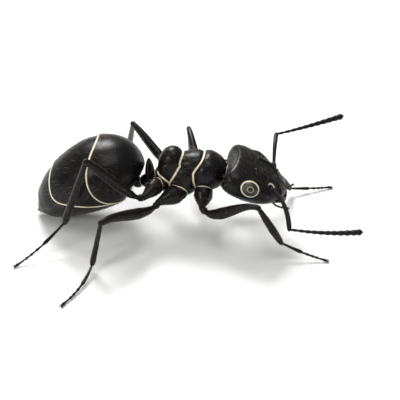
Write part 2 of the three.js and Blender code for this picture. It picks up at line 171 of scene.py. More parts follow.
def around(count):
    """Angles that are evenly spread round a circle."""
    return np.linspace(0, 2 * math.pi, count, endpoint=False)


def lattice(first, second):
    return np.meshgrid(first, second, indexing="ij")


def mirrored(point, side):
    """A point that is given on the body's left, on this side of it."""
    return np.array(point) * [1, side, 1]


class Skin:
    """A closed surface: points in mm, faces, the distance of each point from a pale margin, its place on
    the piece for textures, its outward direction and its place on an unwrap of the skin."""

    def __init__(self, points, quads, tris, margin=None, place=None, outward=None, unwrap=None):
        self.points = points
        self.quads = quads
        self.tris = tris
        count = len(points)
        self.margin = np.ones(count) if margin is None else margin
        self.place = points.copy() if place is None else place
        self.outward = np.zeros((count, 3)) if outward is None else outward
        self.unwrap = np.zeros((count, 2)) if unwrap is None else unwrap


def join(skins):
    """Several skins as one."""
    starts = np.cumsum([0] + [len(skin.points) for skin in skins[:-1]])

    def stack(name):
        return np.concatenate([getattr(skin, name) for skin in skins])

    def shift(name):
        return np.concatenate([getattr(skin, name) + start for skin, start in zip(skins, starts)])

    return Skin(stack("points"), shift("quads"), shift("tris"), stack("margin"), stack("place"),
                stack("outward"), stack("unwrap"))


def grid_normals(rows):
    """The outward direction at each point of a grid that closes round its columns."""
    across = np.roll(rows, -1, axis=1) - np.roll(rows, 1, axis=1)
    normal = unit(np.cross(np.gradient(rows, axis=0), across))
    from_middle = rows - rows.mean(axis=1, keepdims=True)
    return -normal if (from_middle * normal).sum() < 0 else normal


def with_ends(grid):
    """A grid's values in a list, then the means of its first and last rows."""
    return np.concatenate([grid.reshape(-1, *grid.shape[2:]), [grid[0].mean(0)], [grid[-1].mean(0)]])


def closed(rows, margin=None, place=None):
    """A skin from a grid of points that closes round its columns, with a cap at each end."""
    count, sides = rows.shape[:2]
    i, j = lattice(np.arange(count - 1) * sides, np.arange(sides))
    k = (j + 1) % sides
    quads = np.stack([i + j, i + k, i + sides + k, i + sides + j], -1).reshape(-1, 4)
    j = np.arange(sides)
    k = (j + 1) % sides
    tail = (count - 1) * sides
    tris = np.concatenate([
        np.stack([k, j, np.full(sides, count * sides)], -1),
        np.stack([tail + j, tail + k, np.full(sides, count * sides + 1)], -1),
    ])
    normal = grid_normals(rows)
    u, v = np.meshgrid(np.arange(sides) / sides, np.linspace(0, 1, count))
    points = with_ends(rows)
    a, b, c = (points[quads[:, n]] for n in range(3))
    if (np.cross(b - a, c - a) * normal.reshape(-1, 3)[quads[:, 0]]).sum() < 0:
        quads, tris = quads[:, ::-1], tris[:, ::-1]
    return Skin(
        points, quads, tris,
        None if margin is None else with_ends(margin),
        points if place is None else with_ends(place),
        with_ends(normal), with_ends(np.stack([u, v], -1)),
    )


def looped(rows, place):
    """A ring: rows that close on themselves both ways."""
    here = np.arange(rows[..., 0].size).reshape(rows.shape[:2])
    ahead = np.roll(here, -1, 0)
    quads = np.stack([here, np.roll(here, -1, 1), np.roll(ahead, -1, 1), ahead], -1).reshape(-1, 4)
    no_tris = np.zeros((0, 3), int)
    return Skin(rows.reshape(-1, 3), quads, no_tris, np.zeros(here.size), place.reshape(-1, 3))


# ---------- Eggs ----------


def about_x(angle):
    """The matrix of a turn about X."""
    c, s = math.cos(angle), math.sin(angle)
    return np.array([[1, 0, 0], [0, c, -s], [0, s, c]])


def rotation(shape):
    """The matrix that turns an egg's own frame into the body's."""
    pitch = math.radians(shape.get("pitch", 0))
    c, s = math.cos(pitch), math.sin(pitch)
    about_y = np.array([[c, 0, s], [0, 1, 0], [-s, 0, c]])
    return about_y @ about_x(math.radians(shape.get("roll", 0)))


def outward_of(shape, points):
    """Points of the egg's own frame in the body's."""
    return points @ rotation(shape).T + np.array(shape["middle"])


def inward_of(shape, points):
    """Points of the body's frame in the egg's own."""
    return (points - np.array(shape["middle"])) @ rotation(shape)


def egg_radius(shape, along):
    """The egg's girth at a share of its length, as a share of its greatest."""
    widest = shape["widest"]
    away = np.where(along < widest, (widest - along) / widest, (along - widest) / (1 - widest))
    return np.maximum(0, 1 - away**2) ** np.where(along < widest, shape["tail"], shape["nose"])


def near_tail(along):
    return np.maximum(0, 1 - 3 * along) ** 2


def axis_height(shape, along):
    """How high an arched axis with a drooping tail lies."""
    return shape.get("arch", 0) * (1 - (2 * along - 1) ** 2) - shape.get("droop", 0) * near_tail(along)


def powered(value, power):
    return np.sign(value) * np.abs(value) ** power


def egg_point(shape, along, angle):
    """A point of the egg in its own frame, from its share of the length and the angle round it."""
    radius = egg_radius(shape, along)
    across = powered(np.cos(angle), 2 / shape["square"])
    upward = powered(np.sin(angle), 2 / shape["square"])
    half = np.where(upward > 0, shape["rise"], shape["fall"])
    hollow = shape.get("dish", 0) * near_tail(along) * (1 - (across * radius) ** 2)
    return np.stack([
        (along - 0.5) * shape["length"] + hollow,
        across * radius * shape["width"] / 2,
        upward * radius * half + axis_height(shape, along),
    ], -1)


def beyond(shape, points):
    """About how far, in mm, points of the body's frame lie outside an egg."""
    x, y, z = inward_of(shape, points).T
    along = np.clip(x / shape["length"] + 0.5, 0.002, 0.998)
    z = z - axis_height(shape, along)
    radius = egg_radius(shape, along)
    half = np.where(z > 0, shape["rise"], shape["fall"])
    square = shape["square"]
    share = ((np.abs(y) / (shape["width"] / 2)) ** square + (np.abs(z) / half) ** square) ** (1 / square)
    flank = (share - radius) * np.hypot(y, z) / np.maximum(share, 1e-6)
    end = np.abs(x) - shape["length"] / 2
    return np.where(end > 0, np.hypot(end, np.maximum(flank, 0)), flank)


def stations(shape, count):
    """Shares of the egg's length that are evenly spaced over its surface."""
    along = (1 - np.cos(np.linspace(0, math.pi, 4001))) / 2
    half = max(shape["width"] / 2, shape["rise"])
    reached = distances(np.stack([along * shape["length"], egg_radius(shape, along) * half], -1))
    return np.interp(np.linspace(0.004, 0.996, count) * reached[-1], reached, along)


def egg_rows(shape, count, sides, sculpt=None):
    """The egg's grid in the body's frame, with its form worked by sculpt(local points, normals)."""
    along, angle = lattice(stations(shape, count), around(sides))
    local = egg_point(shape, along, angle)
    if sculpt:
        normal = grid_normals(local)
        local = local + normal * sculpt(local, normal)[..., None]
    return outward_of(shape, local), local


def bell(distance, width):
    return np.exp(-((distance / width) ** 2))


def step(value, start, end):
    """0 before start, 1 after end, and smooth between them."""
    share = np.clip((value - start) / (end - start), 0, 1)
    return share * share * (3 - 2 * share)


def path_distance(x, y, path):
    """How far points of a plane lie from a path of straight pieces."""
    best = np.full(x.shape, 1e9)
    for (ax, ay), (bx, by) in zip(path, path[1:]):
        length = (bx - ax) ** 2 + (by - ay) ** 2
        share = np.clip(((x - ax) * (bx - ax) + (y - ay) * (by - ay)) / length, 0, 1)
        best = np.minimum(best, np.hypot(x - ax - share * (bx - ax), y - ay - share * (by - ay)))
    return best


# How deep a plate sinks where it meets its neighbours, and over what width.
SEAM_DEPTH = 0.05
SEAM_WIDTH = 0.07


def nearest(shapes, rows):
    """How far a grid's points lie from the nearest of these eggs."""
    near = np.ones(rows.shape[:2])
    for shape in shapes:
        near = np.minimum(near, beyond(shape, rows.reshape(-1, 3)).reshape(near.shape))
    return near


def along_surface(near, rows):
    """Distances from a line, rescaled to be measured along the grid's own surface."""
    slopes = []
    for axis in (0, 1):
        rise = np.roll(near, -1, axis) - np.roll(near, 1, axis)
        run = np.linalg.norm(np.roll(rows, -1, axis) - np.roll(rows, 1, axis), axis=-1)
        slopes.append(rise / np.maximum(run, 1e-6))
    return near / np.maximum(np.hypot(*slopes), 0.2)


def plate(shape, seams, grooves=(), count=150, sides=200, sculpt=None):
    """A body plate, sunk where it meets its neighbours and pale along its seams."""
    rows, local = egg_rows(shape, count, sides, sculpt)
    normal = grid_normals(rows)
    near = nearest(seams, rows)
    sunk = SEAM_DEPTH * bell(np.maximum(np.minimum(near, nearest(grooves, rows)), 0), SEAM_WIDTH)
    margin = np.clip(along_surface(near, rows), 0, 1)
    return closed(rows - normal * sunk[..., None], margin=margin, place=local)


# ---------- Limbs ----------


def bezier(a, b, c, count):
    t = np.linspace(0, 1, count)[:, None]
    a, b, c = (np.asarray(p, float) for p in (a, b, c))
    return (1 - t) ** 2 * a + 2 * t * (1 - t) * b + t**2 * c


def cubic(a, b, c, d, count):
    t = np.linspace(0, 1, count)[:, None]
    a, b, c, d = (np.asarray(p, float) for p in (a, b, c, d))
    return (1 - t) ** 3 * a + 3 * t * (1 - t) ** 2 * b + 3 * t**2 * (1 - t) * c + t**3 * d


def straight(a, b, count):
    t = np.linspace(0, 1, count)[:, None]
    return np.asarray(a, float) * (1 - t) + np.asarray(b, float) * t


def distances(path):
    """How far along a path each of its points lies."""
    return np.concatenate([[0], np.cumsum(np.linalg.norm(np.diff(path, axis=0), axis=1))])


def part_of(path, start, end, count):
    """The stretch of a path between two shares of its length."""
    reached = distances(path)
    wanted = np.linspace(start, end, count) * reached[-1]
    return np.stack([np.interp(wanted, reached, path[:, k]) for k in range(3)], -1)


# The rows of a limb's round ends, and how its profile is sampled and smoothed.
END_ROWS = 7
PROFILE_SAMPLES = 401
SMOOTHING = 21


def smoothed(profile):
    """A profile's shares and radii at many samples, with its corners rounded."""
    shares = np.linspace(0, 1, PROFILE_SAMPLES)
    radii = np.pad(np.interp(shares, *zip(*profile)), SMOOTHING // 2, mode="edge")
    window = np.hanning(SMOOTHING + 2)[1:-1]
    return shares, np.convolve(radii, window / window.sum(), "valid")


def scaled(profile, size):
    return [(share, radius * size) for share, radius in profile]


def limb(path, profile, sides=32, flat=1.0, margin=1.0):
    """A closed tube along a path with round ends, flattened across by `flat`."""
    count = len(path)
    radius = np.interp(np.linspace(0, 1, count), *smoothed(profile))
    forward = unit(np.gradient(path, axis=0))
    side = unit(np.cross([0.0, 0.0, 1.0], forward))
    top = np.cross(forward, side)
    turn = np.linspace(math.pi / 2, 0, END_ROWS + 1)[:-1] * 0.97
    at = np.concatenate([np.zeros(END_ROWS, int), np.arange(count), np.full(END_ROWS, count - 1)])
    slide = np.concatenate([-np.sin(turn), np.zeros(count), np.sin(turn[::-1])]) * radius[at]
    half = np.concatenate([np.cos(turn), np.ones(count), np.cos(turn[::-1])]) * radius[at]
    across, upward = (half[:, None] * wave(around(sides)) for wave in (np.cos, np.sin))
    rows = (path[at] + forward[at] * slide[:, None])[:, None]
    rows = rows + across[..., None] * side[at][:, None] * flat + upward[..., None] * top[at][:, None]
    reached = np.broadcast_to(distances(path)[at][:, None], across.shape)
    place = np.stack([reached, across, upward], -1)
    return closed(rows, margin=np.full(rows.shape[:2], margin), place=place)


# ---------- Materials ----------


class Nodes:
    """A material, with short ways to add to its node tree."""

    def __init__(self, name):
        self.material = bpy.data.materials.new(name)
        self.material.use_nodes = True
        self.tree = self.material.node_tree
        self.shader = self.tree.nodes["Principled BSDF"]

    def add(self, kind, settings=(), **inputs):
        """A node. Its inputs are given by name, or by number as i0, i1 and so on."""
        node = self.tree.nodes.new(kind)
        for key, value in dict(settings).items():
            setattr(node, key, value)
        for key, value in inputs.items():
            numbered = key[0] == "i" and key[1:].isdigit()
            socket = node.inputs[int(key[1:]) if numbered else key.replace("_", " ")]
            if isinstance(value, bpy.types.NodeSocket):
                self.tree.links.new(value, socket)
            else:
                socket.default_value = value
        return node

    def link(self, source, target):
        self.tree.links.new(source, self.shader.inputs[target])

    def place(self):
        return self.add("ShaderNodeAttribute", dict(attribute_name="place")).outputs["Vector"]

    def margin(self):
        return self.add("ShaderNodeAttribute", dict(attribute_name="margin")).outputs["Fac"]

    def noise(self, place, scale, detail=2.0):
        return self.add("ShaderNodeTexNoise", Vector=place, Scale=scale, Detail=detail).outputs["Fac"]

    def multiply(self, first, second, kind="ShaderNodeMath"):
        return self.add(kind, dict(operation="MULTIPLY"), i0=first, i1=second).outputs[0]

    def bump(self, height, strength, depth, **normal):
        """A surface bumped by this many mm, on top of another normal if one is given."""
        node = self.add("ShaderNodeBump", Strength=strength, Distance=depth * MM, Height=height, **normal)
        return node.outputs["Normal"]

    def ramp(self, value, low, high, start=0.0, end=1.0):
        smooth = dict(interpolation_type="SMOOTHSTEP")
        return self.add("ShaderNodeMapRange", smooth, Value=value, From_Min=low, From_Max=high,
                        To_Min=start, To_Max=end).outputs["Result"]

    def mix(self, share, first, second):
        return self.add("ShaderNodeMix", dict(data_type="RGBA"), i0=share, i6=first, i7=second).outputs[2]


PALE_MARGIN = (0.88, 0.82, 0.62, 1)
RUSTY = (0.02, 0.009, 0.004, 1)
# The specular level of all cuticle, and how deep its slow waves are.
SHINE = 0.16
WAVE_DEPTH = 0.02


def cuticle(name, dark, lighter, roughness, cell, depth, stretch=(1, 1, 1), pale=(0.024, 0.042), gloss=0.1):
    """Horny cuticle: nearly black, in tiny raised scales, rusty and then cream at thin plate margins."""
    nodes = Nodes(name)
    place, margin = nodes.place(), nodes.margin()
    colour = nodes.mix(nodes.ramp(nodes.noise(place, 1.7, 4.0), 0.35, 0.75), dark, lighter)
    colour = nodes.mix(nodes.ramp(margin, pale[1], pale[1] * 3.2, 0.75, 0.0), colour, RUSTY)
    colour = nodes.mix(nodes.ramp(margin, pale[0], pale[1], 1.0, 0.0), colour, PALE_MARGIN)
    nodes.link(colour, "Base Color")
    stretched = nodes.multiply(place, stretch, "ShaderNodeVectorMath")
    scales = nodes.add("ShaderNodeTexVoronoi", dict(feature="SMOOTH_F1"), Vector=stretched, Scale=1 / cell)
    grain = nodes.noise(place, 60.0, 3.0)
    normal = nodes.bump(scales.outputs["Distance"], 0.5, depth)
    normal = nodes.bump(grain, 0.25, depth * 0.6, Normal=normal)
    normal = nodes.bump(nodes.noise(place, 6.0), 0.3, WAVE_DEPTH, Normal=normal)
    nodes.link(normal, "Normal")
    nodes.link(nodes.ramp(grain, 0.3, 0.7, roughness - 0.06, roughness + 0.1), "Roughness")
    nodes.shader.inputs["Specular IOR Level"].default_value = SHINE
    nodes.shader.inputs["Coat Weight"].default_value = gloss
    nodes.shader.inputs["Coat Roughness"].default_value = 0.18
    return nodes.material


# A painted highlight on the eye, as shares of its size: a faint brown ring of painted highlight round the
# dark middle of the lens.
HIGHLIGHT_RING_INNER = (0.25, 0.3)
HIGHLIGHT_RING_OUTER = (0.37, 0.43)
HIGHLIGHT_RING_SHARE = 0.8
HIGHLIGHT_RING_BROWN = (0.42, 0.34, 0.2, 1)
EYE_BLACK = (0.006, 0.005, 0.005, 1)
EYE_BROWN = (0.02, 0.014, 0.011, 1)


def eye_material():
    nodes = Nodes("eye_lens")
    place = nodes.place()
    colour = nodes.mix(nodes.ramp(nodes.noise(place, 5.0), 0.3, 0.8), EYE_BLACK, EYE_BROWN)
    flat = nodes.multiply(place, (2 / EYE["length"], 2 / EYE["height"], 0), "ShaderNodeVectorMath")
    size = nodes.add("ShaderNodeVectorMath", dict(operation="LENGTH"), i0=flat).outputs["Value"]
    # The painted highlight: a lighter brown ring mixed into the lens's own dark colour.
    ring = nodes.multiply(nodes.ramp(size, *HIGHLIGHT_RING_INNER), nodes.ramp(size, *HIGHLIGHT_RING_OUTER, 1.0, 0.0))
    nodes.link(nodes.mix(nodes.multiply(ring, HIGHLIGHT_RING_SHARE), colour, HIGHLIGHT_RING_BROWN), "Base Color")
    nodes.shader.inputs["Roughness"].default_value = 0.16
    nodes.shader.inputs["Coat Weight"].default_value = 0.4
    nodes.shader.inputs["Coat Roughness"].default_value = 0.08
    return nodes.material


def hair_material(name, root, tip):
    nodes = Nodes(name)
    nodes.link(nodes.mix(nodes.margin(), root, tip), "Base Color")
    nodes.shader.inputs["Roughness"].default_value = 0.42
    return nodes.material


def floor_material():
    nodes = Nodes("studio_floor")
    tone = nodes.noise(nodes.add("ShaderNodeTexCoord").outputs["Object"], 40.0, 3.0)
    nodes.link(nodes.mix(tone, (0.86, 0.86, 0.85, 1), (0.9, 0.9, 0.89, 1)), "Base Color")
    nodes.shader.inputs["Roughness"].default_value = 0.85
    return nodes.material


BLACK = (0.002, 0.0018, 0.0018, 1)
LIMB_BLACK = (0.003, 0.0022, 0.002, 1)
LIMB_BROWN = (0.007, 0.004, 0.003, 1)
BODY = cuticle("cuticle_body", BLACK, (0.005, 0.004, 0.0037, 1), 0.32, 0.028, 0.006)
GASTER_SKIN = cuticle("cuticle_gaster", BLACK, (0.005, 0.004, 0.0035, 1), 0.3, 0.035, 0.006,
                      stretch=(1.6, 0.45, 0.45), pale=(0.06, 0.09), gloss=0.07)
LEGS = cuticle("cuticle_leg", LIMB_BLACK, LIMB_BROWN, 0.34, 0.03, 0.005)
FEELERS = cuticle("cuticle_antenna", LIMB_BLACK, LIMB_BROWN, 0.4, 0.022, 0.005)
JAWS = cuticle("cuticle_jaw", (0.012, 0.005, 0.003, 1), (0.035, 0.012, 0.006, 1), 0.3, 0.04, 0.004)
RIM = cuticle("cuticle_eye_ring", PALE_MARGIN, (0.8, 0.72, 0.5, 1), 0.4, 0.03, 0.003)
EYE_LENS = eye_material()
BRISTLE = hair_material("hair_bristle", (0.09, 0.058, 0.03, 1), (0.4, 0.3, 0.18, 1))
DOWN = hair_material("hair_down", (0.03, 0.022, 0.014, 1), (0.12, 0.09, 0.055, 1))

# ---------- Pieces ----------


def write(name, skin, material):
    """The skin as a Blender object, in metres and in the part's frame."""
    mesh = bpy.data.meshes.new(name)
    points = (skin.points + BODY_AXIS) * MM
    mesh.from_pydata(points, [], skin.quads.tolist() + skin.tris.tolist())
    layers = {"margin": ("FLOAT", "value", skin.margin), "place": ("FLOAT_VECTOR", "vector", skin.place)}
    for key, (kind, field, values) in layers.items():
        layer = mesh.attributes.new(key, kind, "POINT")
        layer.data.foreach_set(field, values.astype(np.float32).ravel())
    mesh.shade_smooth()
    mesh.materials.append(material)
    piece = bpy.data.objects.new(name, mesh)
    bpy.context.collection.objects.link(piece)
    return piece


def dress(name, skin, material, slot, *nodes):
    """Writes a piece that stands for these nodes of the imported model."""
    piece = write(name, skin, material)
    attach(piece, "root")
    if nodes:
        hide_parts(*nodes)
    return skin


# ---------- Hair ----------

HAIR_SIDES = 3
# How deep a hair is rooted, how far it curls, how much thinner its tip is, and its size on the unwrap.
ROOT_DEPTH = 0.012
HAIR_CURL = 0.25
HAIR_TAPER = 0.85
HAIR_PATCH = 0.003
# Which way hairs lean unless told otherwise. None reaches below the floor gap.
BACKWARD = (-1, 0, -0.2)
FLOOR_GAP = 0.01

# Where hairs grow: places on a skin, their outward directions and their places on its unwrap.
Roots = namedtuple("Roots", "points outward unwrap")


def scatter(skin, count, weight=None):
    """Random places on a skin, evenly spread over its area or by a weight at each point."""
    faces = np.concatenate([skin.quads[:, [0, 1, 2]], skin.quads[:, [0, 2, 3]], skin.tris])
    a, b, c = (skin.points[faces[:, k]] for k in range(3))
    chance = np.linalg.norm(np.cross(b - a, c - a), axis=1)
    if weight is not None:
        chance = chance * weight[faces].mean(1)
    if chance.sum() <= 0:
        return Roots(np.zeros((0, 3)), np.zeros((0, 3)), np.zeros((0, 2)))
    chosen = faces[rng.choice(len(faces), count, p=chance / chance.sum())]
    share = rng.dirichlet((1, 1, 1), count)[..., None]
    outward = unit((skin.outward[chosen] * share).sum(1))
    return Roots((skin.points[chosen] * share).sum(1), outward, skin.unwrap[chosen[:, 0]])


def hairs(roots, length, radius, lean, backward=BACKWARD, rings=4, tile=(0, 1)):
    """Hairs that stand off a skin by `lean` radians from its outward direction, towards `backward`."""
    normal = roots.outward
    count = len(normal)
    back = np.asarray(backward, float) + rng.normal(0, 0.14, (count, 3))
    back = unit(back - normal * (back * normal).sum(1, keepdims=True))
    lean = (lean + rng.normal(0, 0.09, count))[:, None]
    aim = normal * np.cos(lean) + back * np.sin(lean)
    side = np.cross(normal, back)
    across = np.cross(aim, side)
    lengths = length * rng.uniform(0.6, 1.15, count)[:, None]
    radii = radius * rng.uniform(0.8, 1.2, count)[:, None]
    points = []
    for k in range(rings):
        t = k / (rings - 1)
        middle = roots.points - normal * ROOT_DEPTH + aim * lengths * t
        middle = middle + (back - normal * 0.25) * lengths * HAIR_CURL * t * t
        width = radii * (1 - HAIR_TAPER * t)
        for s in range(HAIR_SIDES):
            turn = 2 * math.pi * s / HAIR_SIDES
            points.append(middle + width * (side * math.cos(turn) + across * math.sin(turn)))
    points = np.stack(points, 1)
    standing = points[:, :, 2].min(1) > FLOOR_GAP
    points, count = points[standing], standing.sum()
    per = rings * HAIR_SIDES
    quads = []
    for k in range(rings - 1):
        for s in range(HAIR_SIDES):
            here, there = k * HAIR_SIDES, (k + 1) * HAIR_SIDES
            after = (s + 1) % HAIR_SIDES
            quads.append([here + s, here + after, there + after, there + s])
    caps = [[2, 1, 0], [per - 3, per - 2, per - 1]]
    starts = (np.arange(count) * per)[:, None, None]
    share = np.repeat(np.arange(rings) / (rings - 1), HAIR_SIDES)
    patch = np.stack([share, np.tile(np.arange(HAIR_SIDES) / HAIR_SIDES, rings)], -1) * HAIR_PATCH
    spot = roots.unwrap[standing] * [1 / tile[1], 1] + [tile[0] / tile[1], 0]
    return Skin(
        points.reshape(-1, 3),
        (np.array(quads)[None] + starts).reshape(-1, 4),
        (np.array(caps)[None] + starts).reshape(-1, 3),
        margin=np.tile(share, count),
        unwrap=(spot[:, None] * (1 - HAIR_PATCH) + patch[None]).reshape(-1, 2),
    )


def coat(name, bunches, material):
    """Writes bunches of hairs as one piece with its own unwrap."""
    skin = join(bunches)
    piece = write(name, skin, material)
    layer = piece.data.uv_layers.new(name="OFBake")
    corners = np.empty(len(piece.data.loops), np.int32)
    piece.data.loops.foreach_get("vertex_index", corners)
    layer.data.foreach_set("uv", skin.unwrap[corners].astype(np.float32).ravel())
    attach(piece, "root")


# ---------- Head ----------

# Lines on the face, in the head's frame: +X to the mouth and +Y to its left.
CLYPEUS_EDGE = [(1.02, 0), (1.0, 0.26), (1.12, 0.42), (1.34, 0.56), (1.56, 0.82)]
FRONTAL_CARINA = [(1.06, 0.4), (0.86, 0.52), (0.56, 0.62), (0.2, 0.6), (-0.1, 0.5)]


def sculpt_head(local, normal):
    """The face's plates, ridges and sockets, and the mouth's hollow under it."""
    x, y = local[..., 0], np.abs(local[..., 1])
    face = step(normal[..., 2], 0.1, 0.5)
    under = step(-normal[..., 2], 0.1, 0.5)
    # The clypeus: the groove behind it, its raised shield and the keel down its middle.
    form = -0.03 * bell(path_distance(x, y, CLYPEUS_EDGE), 0.045) * face
    form += 0.035 * step(x, 1.02, 1.12) * step(0.42 + (x - 1.1) * 0.85 - y, 0, 0.1) * face
    form += 0.035 * bell(y, 0.05) * step(x, 1.05, 1.2) * face
    # A ridge beside each antenna, and the antenna's rimmed socket.
    form += 0.075 * bell(path_distance(x, y, FRONTAL_CARINA), 0.06) * face
    socket = np.hypot(x - SOCKET[0], y - SOCKET[1])
    form += (-0.14 * bell(socket, 0.2) + 0.06 * bell(socket - 0.24, 0.05)) * face
    # The furrows of the forehead and of the head's underside, and the mouth.
    form -= 0.02 * bell(y, 0.025) * step(x, -0.9, -0.5) * step(-x, -1.0, -0.9) * face
    form -= 0.03 * bell(y, 0.03) * step(x, -1.6, -1.3) * step(-x, -0.4, -0.2) * under
    form -= 0.26 * step(x, 0.75, 1.25) * step(1.0 - y, 0, 0.25) * under
    return form


# The head is flat round each eye, at this height in the eye's frame, so that a third of the eye stands
# proud of it inside a raised rim.
ORBIT = 0.05
# The pale membrane round the base of an antenna: the radius of its ring.
SOCKET_RING = 0.19
# The hind corners of the head are rounded off by averaging this many rows of it, this many times.
OCCIPUT_ROWS = 90
OCCIPUT_PASSES = 160


def softened(rows, count, passes):
    """The rows with the first `count` of them smoothed, less and less towards the last of these."""
    rows = rows.copy()
    share = (1 - step(np.arange(1, len(rows) - 1), count * 0.6, count))[:, None, None]
    for _ in range(passes):
        rows[1:-1] += ((rows[:-2] + rows[2:]) / 2 - rows[1:-1]) * 0.5 * share
    return rows


# Added to the distance from an eye's rim, so that the skin beside it is rusty and not pale.
RUST_START = 0.07
# The pale ring round an eye: where it lies, as a share of the eye's size, and its half width and height.
RING = (0.93, 0.046, 0.05)


def head_skin():
    """The head, flat and rimmed round each eye and pale round each antenna's base."""
    local = egg_rows(HEAD, 260, 320, sculpt_head)[1]
    near = np.ones(local.shape[:2])
    for side in (-1, 1):
        turn, middle = eye_turn(side), mirrored(EYE["middle"], side)
        seen = (local - middle) @ turn
        size = np.hypot(seen[..., 0] / EYE_HALF[0], seen[..., 1] / EYE_HALF[1])
        here = seen[..., 2] > -0.7
        rim = (size - 0.98) * EYE_HALF[:2].mean()
        flat = np.where(here, 1 - step(size, 1.05, 1.7), 0)
        level = ORBIT + 0.03 * bell(rim - 0.09, 0.05) - 0.2 * step(0.97 - size, 0, 0.15)
        seen[..., 2] += (level - seen[..., 2]) * flat
        local = seen @ turn.T + middle
        near = np.where(here, np.minimum(near, np.abs(rim) + RUST_START), near)
        knob = np.hypot(local[..., 0] - SOCKET[0], local[..., 1] - side * SOCKET[1]) - SOCKET_RING
        near = np.where(local[..., 2] > 0, np.minimum(near, np.abs(knob) * 2), near)
    rows = outward_of(HEAD, softened(local, OCCIPUT_ROWS, OCCIPUT_PASSES))
    return closed(rows, margin=near, place=local)


def eye_turn(side):
    """The matrix from an eye's own frame, whose +Z looks out of it, to the head's."""
    return about_x(-side * math.radians(90 - EYE["turn"]))


def from_eye(local, side):
    """Points of an eye's own frame in the body's."""
    return outward_of(HEAD, local @ eye_turn(side).T + mirrored(EYE["middle"], side))


def eye_skin(side):
    """A domed compound eye of hexagonal facets, each a small dome of its own."""
    turn, angle = lattice(np.linspace(0.01, 2.1, 110), around(280))
    ball = np.stack([np.sin(turn) * np.cos(angle), np.sin(turn) * np.sin(angle), np.cos(turn)], -1)
    # An even-area map of the ball, on which two lattices of rectangles make one of hexagons.
    flat = ball[..., :2] * np.sqrt(2 / (1 + ball[..., 2:]))
    cell = np.array([FACET, FACET * math.sqrt(3)])
    away = np.full(turn.shape, 1e9)
    for shift in (0, 0.5):
        inside = (flat / cell + shift) % 1 - 0.5
        away = np.minimum(away, np.hypot(*np.moveaxis(inside * cell, -1, 0)))
    dome = 0.022 * (1 - (away / (FACET / math.sqrt(3))) ** 2) * step(ball[..., 2], -0.15, 0.05)
    local = ball * EYE_HALF * (0.985 + dome)[..., None]
    return closed(from_eye(local, side), margin=np.sin(turn), place=local)


def ring_skin(side):
    """The pale ring of cuticle that holds an eye."""
    share, half_width, height = RING
    angle, turn = lattice(around(160), around(20))
    size = EYE_HALF[:2] * share + np.cos(turn)[..., None] * half_width
    x, y = size[..., 0] * np.cos(angle), size[..., 1] * np.sin(angle)
    lens = EYE_HALF[2] * math.sqrt(1 - share**2)
    level = lens + (ORBIT + 0.01 - lens) * step(np.cos(turn), -0.8, 1.0) + np.sin(turn) * height * 0.7
    local = np.stack([x, y, level], -1)
    return looped(from_eye(local, side), place=local)


# A mandible, in the head's frame and on its left side: its outer edge curves to the tip, and its inner
# edge has the teeth.
JAW_OUTER = ((1.36, 0.94), (2.06, 0.98), (2.12, 0.0))
JAW_INNER = ((1.36, 0.4), (1.5, 0.16), (1.62, 0.13))
JAW_TEETH = 5
JAW_TOOTH = 0.07
JAW_LEVEL = -0.2
JAW_THICK = (0.24, 0.07)
# The rows of the jaw's toothless root and of its toothed edge.
JAW_ROWS = (60, 80)


def jaw_skin(side):
    """A jaw: a curved blade, thickest at its root and outer edge, with teeth on its inner edge."""
    plain, toothed = JAW_ROWS
    along = np.linspace(0, 1, plain + toothed)
    outer = bezier(*[(x, y, 0) for x, y in JAW_OUTER], plain + toothed)
    root = bezier(*[(x, y, 0) for x, y in JAW_INNER], plain)
    chew = straight(root[-1], outer[-1], toothed + 1)[1:]
    tooth = np.linspace(0, JAW_TEETH - 0.001, toothed) % 1
    point = np.minimum(tooth / 0.75, (1 - tooth) / 0.25) - 0.5
    chew[:, 1] -= JAW_TOOTH * point * np.linspace(0.7, 1, toothed) ** 0.5
    inner = np.concatenate([root, chew])
    angle = around(36)
    across = (1 - np.cos(angle)) / 2
    width = np.linalg.norm(inner - outer, axis=1)
    thick = np.minimum(np.interp(along, [0, 1], JAW_THICK), width * 0.5 + 0.012)
    rows = outer[:, None] * (1 - across[None, :, None]) + inner[:, None] * across[None, :, None]
    rows[..., 2] = JAW_LEVEL - 0.1 * along[:, None] ** 2
    rows[..., 2] += np.sin(angle) * thick[:, None] * (1 - 0.35 * across)
    rows[..., 2] += 0.1 * (1 - across) * np.sin(math.pi * along[:, None])
    rows[..., 1] *= side
    return closed(outward_of(HEAD, rows), place=rows)


def mouth_skins():
    """The labium and the two maxillae under the mouth, and the labrum that closes it behind the jaws."""
    shapes = [
        dict(middle=(1.3, 0, -0.5), length=1.0, width=0.42, rise=0.22, fall=0.2),
        dict(middle=(1.62, 0, -0.36), length=0.7, width=0.7, rise=0.07, fall=0.07),
    ]
    for side in (-1, 1):
        shapes.append(dict(middle=(1.22, side * 0.36, -0.48), length=1.05, width=0.36, rise=0.2, fall=0.2))
    skins = []
    for shape in shapes:
        shape.update(widest=0.45, tail=0.45, nose=0.5, square=2.2, pitch=8)
        rows, local = egg_rows(shape, 40, 40)
        skins.append(closed(outward_of(HEAD, rows), place=local))
    return skins


# Each palp's curve, in the head's frame and given on its left side.
PALPS = {
    "right": dict(root=(1.5, 0.34, -0.62), bend=(1.75, 0.45, -0.85), tip=(2.45, 0.48, -0.46)),
    "left": dict(root=(1.4, 0.34, -0.62), bend=(2.0, 0.8, -0.5), tip=(2.3, 0.95, 0.1)),
}
PALP_SEGMENTS = 6
PALP_RADIUS = 0.055
# The gap at each end of a segment, as a share of the limb's length.
SEGMENT_GAP = 0.004


